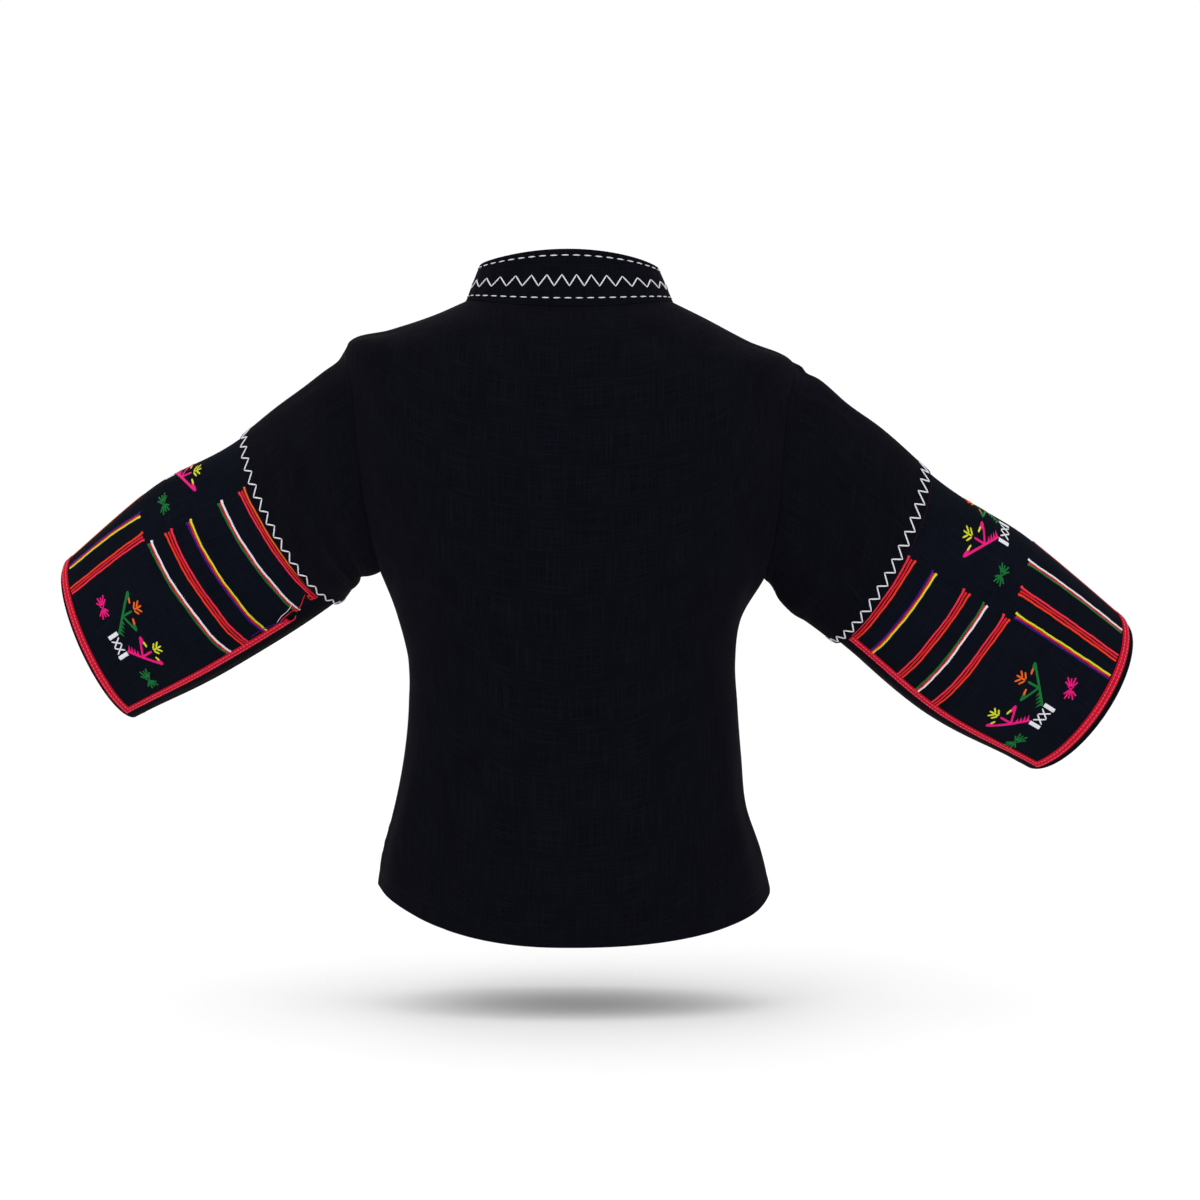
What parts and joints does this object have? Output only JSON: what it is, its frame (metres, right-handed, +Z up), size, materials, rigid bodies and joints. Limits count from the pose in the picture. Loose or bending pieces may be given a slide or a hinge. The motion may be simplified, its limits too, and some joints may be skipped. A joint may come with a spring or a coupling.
{
  "type": "embroidered top",
  "caption": "Stand-collar top with elbow-length sleeves wrapped in embroidered, red-bound bands, buttoned down the front, vented at the sides and shown filled out as if worn.",
  "frame": {"origin": "midway between the two side points of the neckline, where the wearer's shoulders hold the top up", "axes": "+Z up, -Y towards the garment's front, +X towards the wearer's left"},
  "size_m": [1.0083, 0.3159, 0.61],
  "materials": {
    "cloth": "matt slubbed plain weave",
    "band": "matt plain weave, embroidered in coloured thread",
    "binding": "matt bias binding",
    "button": "satin"
  },
  "bodies": {
    "root": {"back": "cloth", "front_left": "cloth", "front_right": "cloth", "collar": "cloth", "sleeve_upper_left": "cloth", "sleeve_upper_right": "cloth", "sleeve_lower_left": "cloth", "sleeve_lower_right": "cloth", "band_left": "band", "band_right": "band", "binding_left": "binding", "binding_right": "binding", "button_1": "button", "button_2": "button", "button_3": "button", "button_4": "button", "button_5": "button", "button_6": "button", "button_7": "button"}
  },
  "joints": []
}
